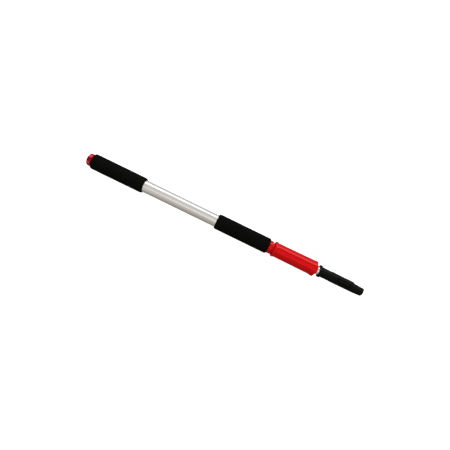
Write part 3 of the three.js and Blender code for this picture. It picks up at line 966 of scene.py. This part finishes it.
class POLE_OT_springs(MakePiece):
    """Adds the sleeve's return spring and the latch's small spring"""

    bl_idname = "pole.springs"
    bl_label = "Springs"

    def execute(self, context):
        low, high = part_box("sleeve_spring")
        radius = 0.8 * MM
        mean = half_height("sleeve_spring") - radius
        x, y, z = coil_path(low.x, high.x, mean, radius, 8)
        path = np.stack([x, y, z + AXIS_Z], 1)
        piece = put("return_spring", [wire(path, radius)])
        finish_piece(piece, "handle", "sleeve_spring", "steel")
        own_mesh(piece)
        low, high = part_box("latch_spring")
        centre = (low + high) / 2
        radius = 0.4 * MM
        mean = (high.y - low.y) / 2 - radius
        z, x, y = coil_path(low.z, high.z, mean, radius, 6)
        path = np.stack([x + centre.x, y + centre.y, z], 1)
        piece = put("tongue_spring", [wire(path, radius, 12)])
        finish_piece(piece, "inner_pole", "latch_spring", "steel")
        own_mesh(piece)
        return {"FINISHED"}


class POLE_OT_pins(MakePiece):
    """Adds the cross pins and the countersunk rivets"""

    bl_idname = "pole.pins"
    bl_label = "Pins and rivets"

    def execute(self, context):
        pins = {
            "butt_pin": ("cap_cross_pin", "handle", 0),
            "guide_pin": ("guide_cross_pin", "inner_pole", 0),
            "tip_pin": ("tip_cross_pin", "inner_pole", 0),
            "latch_pin": ("tongue_pivot_pin", "inner_pole", 0.6 * MM),
        }
        for node, (name, body, sunk) in pins.items():
            low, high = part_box(node)
            centre = (low + high) / 2
            half, radius = (high.y - low.y) / 2 - sunk, (high.x - low.x) / 2
            chamfer = 0.3 * MM
            profile = rounded([
                (-half, 0), (-half, radius, chamfer), (half, radius, chamfer), (half, 0)])
            piece = put(name, [cross_turned(profile, centre, (0, 1, 0))])
            finish_piece(piece, body, node, "steel")
        for number, way in ((1, 1), (2, -1)):
            low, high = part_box(f"lock_rivet_{number}")
            foot, top = sorted((abs(low.z - AXIS_Z), abs(high.z - AXIS_Z)))
            head = (high.x - low.x) / 2
            shank = 1.7 * MM
            profile = rounded([
                (foot, 0), (foot, shank, 0.4 * MM), (top - 1.3 * MM, shank, 0.2 * MM),
                (top - 0.1 * MM, head, 0.1 * MM), (top, head - 0.2 * MM, 0.1 * MM), (top, 0)])
            centre = ((low.x + high.x) / 2, 0, AXIS_Z)
            piece = put(f"spigot_rivet_{number}", [cross_turned(profile, centre, (0, 0, way))])
            finish_piece(piece, "handle", f"lock_rivet_{number}", "steel")
        return {"FINISHED"}


class POLE_OT_guides(MakePiece):
    """Adds the rear guide, its glide ring, the bumper and the spring's seat"""

    bl_idname = "pole.guides"
    bl_label = "Guides, bumper and spring seat"

    def execute(self, context):
        start, end = span("rear_guide")
        outer = true_radius("rear_guide")
        shoulder = span("inner_tube")[0] - SEAT_GAP
        plug = INNER_RADIUS - self.sizes.inner_wall - SEAT_GAP
        groove = (start + 3.7 * MM, start + 7.7 * MM, 12.4 * MM)
        bore = 6 * MM
        ring = rounded([
            (start, bore, 0.5 * MM), (start, outer, 0.9 * MM), (groove[0], outer, 0.2 * MM),
            (groove[0], groove[2], 0.3 * MM), (groove[1], groove[2], 0.3 * MM),
            (groove[1], outer, 0.2 * MM), (shoulder, outer, 0.5 * MM), (shoulder, plug, 0.2 * MM),
            (end, plug, 0.8 * MM), (end, bore, 0.5 * MM),
        ], closed=True)
        turn_ring("piston_guide", ring, "inner_pole", "rear_guide", "nylon")
        rings = {
            "glide_ring": ("felt_glide_ring", 12.7 * MM, 0.7 * MM, "inner_pole", "rubber"),
            "stop_bumper": ("butt_bumper", 7 * MM, 0.7 * MM, "handle", "rubber"),
            "spring_seat": ("spring_washer", 13.5 * MM, 0.2 * MM, "handle", "steel"),
        }
        for node, (name, hole, soft, body, slot) in rings.items():
            section = ring_section(*span(node), hole, true_radius(node), soft)
            turn_ring(name, section, body, node, slot)
        return {"FINISHED"}


# ------------------------------------------------------------------ operators: the tip

FLANGE_SET_BACK = 2.2 * MM  # how far the flange's rear face stands ahead of its node's
FLANGE_END = 266.2 * MM
TIP_STEP = 292.5 * MM
KEY_FLAT = (353 * MM, 10.4 * MM, 8.9 * MM)  # start, and the flat's height at its two ends
WINDOW = (307.3 * MM, 346 * MM, 5.2 * MM, 2 * MM)  # start, end, half width, floor over the axis
TONGUE_SKIN = 0.2 * MM


def tip_radius(x):
    """The tip's outer radius ahead of its flange: a neck, a step up, then two tapers."""
    stations = np.array([FLANGE_END, TIP_STEP - 4 * MM, TIP_STEP, TIP_STEP + 2 * MM, 356 * MM, 381 * MM])
    return np.interp(x, stations, np.array([13.2, 12.6, 12.6, 13.2, 13.0, 12.2]) * MM)


def plan_block(start, end, half, low, high, soft):
    """A block with rounded corners in plan: its outline is a rounded rectangle in x and y,
    carried straight up from low to high."""
    outline = rounded([(start, -half, soft), (end, -half, soft),
                       (end, half, soft), (start, half, soft)], closed=True)
    loop = lambda z: np.column_stack([outline, np.full(len(outline), z)])
    centre = lambda z: np.tile([(start + end) / 2, 0, z], (len(outline), 1))
    return skin(np.stack([centre(low), loop(low), loop(high), centre(high)]), False, True)


class POLE_OT_tip(MakePiece):
    """Adds the black quick-connect tip with its flange, key flat and tongue window"""

    bl_idname = "pole.tip"
    bl_label = "Tip"

    def execute(self, context):
        start, end = span("tip_body")
        start = start + FLANGE_SET_BACK
        flange = true_radius("tip_body")
        socket = INNER_RADIUS + self.sizes.running_gap
        core = INNER_RADIUS - self.sizes.inner_wall - SEAT_GAP
        bottom = span("inner_tube")[1] + SEAT_GAP
        core_start = 270 * MM
        outline = rounded([
            (core_start, 0), (core_start, core, 0.6 * MM), (bottom, core, 0.2 * MM),
            (bottom, socket, 0.2 * MM), (start, socket, 0.4 * MM), (start, flange, 1.1 * MM),
            (FLANGE_END, flange, 1.1 * MM), (FLANGE_END, 13.0 * MM, 0.5 * MM),
            (TIP_STEP - 4 * MM, 12.6 * MM, 6 * MM), (TIP_STEP, 12.6 * MM, 0.8 * MM),
            (TIP_STEP + 2 * MM, 13.2 * MM, 0.8 * MM), (356 * MM, 13 * MM, 4 * MM),
            (end, 12.2 * MM, 1.5 * MM), (end, 0),
        ])
        outline = spaced(outline, 1.2 * MM)

        def key_flat(x, r, a):
            height = np.interp(x, [KEY_FLAT[0], end], KEY_FLAT[1:])
            ramp = smooth_step(KEY_FLAT[0] - 2.2 * MM, KEY_FLAT[0] + 1.6 * MM, x)
            height = height + (1 - ramp) * 4 * MM
            limit = height / np.maximum(np.sin(a), 1e-3)  # a = 90 degrees is the +Y side
            soft = 0.25 * MM
            blend = np.minimum(r, limit) - soft * np.exp(-np.abs(r - limit) / soft) * (r > 8 * MM)
            change = np.where((np.sin(a) > 0) & (x > KEY_FLAT[0] - 3 * MM), blend - r, 0)
            return np.minimum(change, 0)

        vertices, faces = revolve(outline, FINE_TURNS, key_flat)
        near = 1 - smooth_step(FLANGE_END + 2 * MM, FLANGE_END + 8 * MM, vertices[:, 0])
        vertices[:, 0] -= self.sizes.flange_lean * near * vertices[:, 1] / flange
        piece = put("tip_adapter", [(vertices, faces)], sharp=40)
        window = put("window", [plan_block(
            WINDOW[0], WINDOW[1], WINDOW[2], AXIS_Z + WINDOW[3], AXIS_Z + 30 * MM, 1.2 * MM)])
        cut_out(piece, [window])
        finish_piece(piece, "inner_pole", "tip_body", "black_plastic")
        return {"FINISHED"}


class POLE_OT_tongue(MakePiece):
    """Adds the latch tongue with its catch and its pivot knuckle"""

    bl_idname = "pole.tongue"
    bl_label = "Latch tongue"

    def execute(self, context):
        low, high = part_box("tip_latch")
        start, end, half = low.x, high.x, (high.y - low.y) / 2
        pivot = middle("latch_pin")
        knuckle_x, knuckle_z, knuckle = pivot.x, pivot.z - AXIS_Z, 2.3 * MM
        pad_floor = 9.6 * MM
        corner, ditch, ditch_floor = 2.6 * MM, 2.5 * MM, pad_floor + 0.4 * MM
        end = end - 0.3 * MM

        def top(x, y):
            crown = np.sqrt((tip_radius(x) - TONGUE_SKIN) ** 2 - y ** 2)
            past_end = np.maximum(start + 2.4 * MM + corner - x, x - (end - corner))
            past_side = np.abs(y) - (half - corner)
            inside = corner - np.hypot(np.maximum(past_end, 0), np.maximum(past_side, 0))
            crown = crown - ditch * (1 - smooth_step(0.3 * MM, 1.7 * MM, inside))
            crown = np.maximum(crown, ditch_floor)
            slope = smooth_step(start + 3 * MM, start + 7 * MM, x)
            slope = slope * (1 - smooth_step(start + 8.2 * MM, start + 9.4 * MM, x))
            width = 1 - smooth_step(2.1 * MM, 3.1 * MM, np.abs(y))
            return AXIS_Z + crown + self.sizes.catch * slope * width

        def bottom(x, y):
            round_under = knuckle ** 2 - np.clip(x - knuckle_x, -knuckle, knuckle) ** 2
            low_side = knuckle_z - np.sqrt(round_under)
            return AXIS_Z + np.minimum(pad_floor, np.where(round_under > 0, low_side, pad_floor))

        x = np.unique(np.concatenate([
            np.linspace(start, end, 170), knuckle_x + knuckle * np.cos(np.linspace(0, math.pi, 25))]))
        piece = put("latch_tongue", slab(x, np.linspace(-half, half, 49), top, bottom), sharp=40)
        reach, bore = 9 * MM, 1.15 * MM
        hole = cross_turned(
            np.array([(-reach, 0), (-reach, bore), (reach, bore), (reach, 0)]),
            (pivot.x, 0, pivot.z), (0, 1, 0))
        cut_out(piece, [put("hole", [hole])])
        finish_piece(piece, "latch", "tip_latch", "black_plastic")
        return {"FINISHED"}


# ------------------------------------------------------------------ operator: the stage

# The room's light by the angle about the pole's axis, in degrees from straight up: positive
# towards the sleeve's thumb rib. A bright wall stands on that side, a dim warm one opposite.
# A single number is a grey.
STRIPS = (
    (-180, (0.27, 0.26, 0.24)),
    (-110, (0.25, 0.24, 0.215)),
    (-75, (0.34, 0.32, 0.29)),
    (-36, (0.46, 0.44, 0.41)),
    (-25, (0.46, 0.44, 0.41)),
    (-21, (0.84, 0.81, 0.79)),
    (-14, (0.84, 0.81, 0.79)),
    (-9, (0.58, 0.57, 0.56)),
    (16, (0.58, 0.57, 0.56)),
    (30, (0.44, 0.435, 0.43)),
    (58, (0.52, 0.515, 0.51)),
    (62, 1.60),
    (78, 1.60),
    (84, 0.56),
    (150, 0.36),
)

# The same for the room beyond the butt, where a dark card hangs between two soft boxes.
BUTT_STRIPS = (
    (-180, 0.10),
    (-95, 0.30),
    (-80, 1.20),
    (-50, 1.20),
    (-32, 0.12),
    (26, 0.12),
    (42, 1.70),
    (86, 1.70),
    (100, 0.30),
)
BUTT_WAY = (-0.37, -0.45)  # where that room takes over, by the X share of the way

# Stops of the camera's response: light that comes in, and light shown.
TOE = (
    (0.006, 0.0014), (0.012, 0.0026), (0.02, 0.0045), (0.03, 0.009), (0.045, 0.023),
    (0.068, 0.048), (0.12, 0.1), (0.3, 0.285),
)


class POLE_OT_stage(bpy.types.Operator):
    """Adds the floor, the lights, the room and the camera"""

    bl_idname = "pole.stage"
    bl_label = "Stage"
    bl_options = {"REGISTER", "UNDO"}

    def floor(self, size, glow):
        """A flat white sheet that turns up into a round wall: height is rise x smooth step of
        the distance from the middle."""
        flat, edge, rise = 0.35, 0.5, 0.7  # shares of the size
        reach = np.array([0, 0.35, 0.38, 0.41, 0.44, 0.47, 0.5]) * size
        height = smooth_step(flat, edge, reach / size) * rise * size
        sheet = revolve_up(np.column_stack([reach, height]), turns=96)
        piece = put("studio_floor", [sheet])
        piece.data.flip_normals()
        piece.data.materials.append(pale_floor("pale_floor", glow))
        piece.visible_glossy = False
        piece.visible_diffuse = False
        piece.visible_shadow = False
        piece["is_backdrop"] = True

    def room(self, strength):
        """A world whose light depends on the angle about the pole's axis, and is another past
        the butt."""
        world = bpy.data.worlds.new("room")
        world.use_nodes = True
        g = Tree(world.node_tree)
        way = g.node("ShaderNodeTexCoord", {}, out="Generated")
        flat = g.node("ShaderNodeSeparateXYZ", {}, way, out="Y")
        up = g.node("ShaderNodeSeparateXYZ", {}, way, out="Z")
        angle = g.node("ShaderNodeMath", {"operation": "ARCTAN2"}, flat, up)
        share = angle * (1 / (2 * math.pi)) + 0.5
        ramps = []
        for strips in (STRIPS, BUTT_STRIPS):
            stops = [((degrees + 180) / 360, np.broadcast_to(colour, 3).tolist())
                     for degrees, colour in strips]
            ramps.append(g.node("ShaderNodeValToRGB", {"stops": stops}, share))
        past = g.node("ShaderNodeSeparateXYZ", {}, way, out="X")
        past = g.between(past, 0.0, 1.0, *BUTT_WAY)
        ground = world.node_tree.nodes["Background"]
        g.feed(ground.inputs["Color"], g.mixed(past, *ramps))
        ground.inputs["Strength"].default_value = strength
        bpy.context.scene.world = world

    def key(self, power):
        """A broad soft light overhead, a little to the thumb rib's side."""
        lamp = bpy.data.lights.new("key_light", "AREA")
        lamp.shape = "RECTANGLE"
        lamp.size, lamp.size_y = 1.6, 0.7
        lamp.energy = power
        aside, height = 0.3, 1.4
        made = bpy.data.objects.new("key_light", lamp)
        made.location = (0, aside, height)
        made.rotation_euler = (-math.atan2(aside, height), 0, 0)
        made.visible_glossy = False
        made.visible_camera = False
        bpy.context.scene.collection.objects.link(made)

    def response(self, view):
        """The camera's response: a deep toe, so black mouldings stay black under soft light."""
        view.use_curve_mapping = True
        curve = view.curve_mapping.curves[3]
        for light, shown in TOE:
            point = curve.points.new(light, shown)
            point.handle_type = "VECTOR"
        view.curve_mapping.update()

    def execute(self, context):
        scene = context.scene
        s = scene.pole_stage
        self.floor(s.floor_size, s.floor_glow)
        self.room(s.room)
        self.key(s.key_light)
        scene.view_settings.view_transform = "Standard"
        self.response(scene.view_settings)
        lens = bpy.data.cameras.new("camera")
        lens.lens, lens.sensor_width = s.lens, 36.0
        lens.shift_x, lens.shift_y = s.aside
        lens.clip_start, lens.clip_end = 0.01, 50.0
        camera = bpy.data.objects.new("camera", lens)
        camera.location = (0, 0, AXIS_Z + s.distance)
        camera.rotation_euler = (0, 0, s.roll)
        scene.collection.objects.link(camera)
        scene.camera = camera
        return {"FINISHED"}


# ------------------------------------------------------------------ panel and registering

OPERATORS = (
    POLE_OT_stage, POLE_OT_tubes, POLE_OT_butt_cap, POLE_OT_grips, POLE_OT_lock_body,
    POLE_OT_lock_sleeve, POLE_OT_nose, POLE_OT_jaws, POLE_OT_springs, POLE_OT_pins,
    POLE_OT_guides, POLE_OT_tip, POLE_OT_tongue,
)


class POLE_PT_panel(bpy.types.Panel):
    """Lists the pole's pieces, sizes and finishes"""

    bl_label = "Roller Extension Pole"
    bl_idname = "POLE_PT_panel"
    bl_space_type = "VIEW_3D"
    bl_region_type = "UI"
    bl_category = "Pole"

    def draw(self, context):
        for operator in OPERATORS:
            self.layout.operator(operator.bl_idname)
        for group in (context.scene.pole_sizes, context.scene.pole_finishes,
                      context.scene.pole_stage):
            box = self.layout.box()
            for name in group.__annotations__:
                box.prop(group, name)


GROUPS = {"pole_sizes": PoleSizes, "pole_finishes": PoleFinishes, "pole_stage": StageSettings}


def register():
    for kind in (*GROUPS.values(), *OPERATORS, POLE_PT_panel):
        bpy.utils.register_class(kind)
    for name, kind in GROUPS.items():
        setattr(bpy.types.Scene, name, bpy.props.PointerProperty(type=kind))


def unregister():
    for name in GROUPS:
        delattr(bpy.types.Scene, name)
    for kind in (POLE_PT_panel, *reversed(OPERATORS), *reversed(GROUPS.values())):
        bpy.utils.unregister_class(kind)


def corners():
    """The shown model's lowest and highest corners, as plain lists."""
    return [list(corner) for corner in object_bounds()]


def main():
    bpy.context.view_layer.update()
    register()
    for operator in OPERATORS:
        group, name = operator.bl_idname.split(".")
        getattr(getattr(bpy.ops, group), name)()


if __name__ == "__main__":
    main()
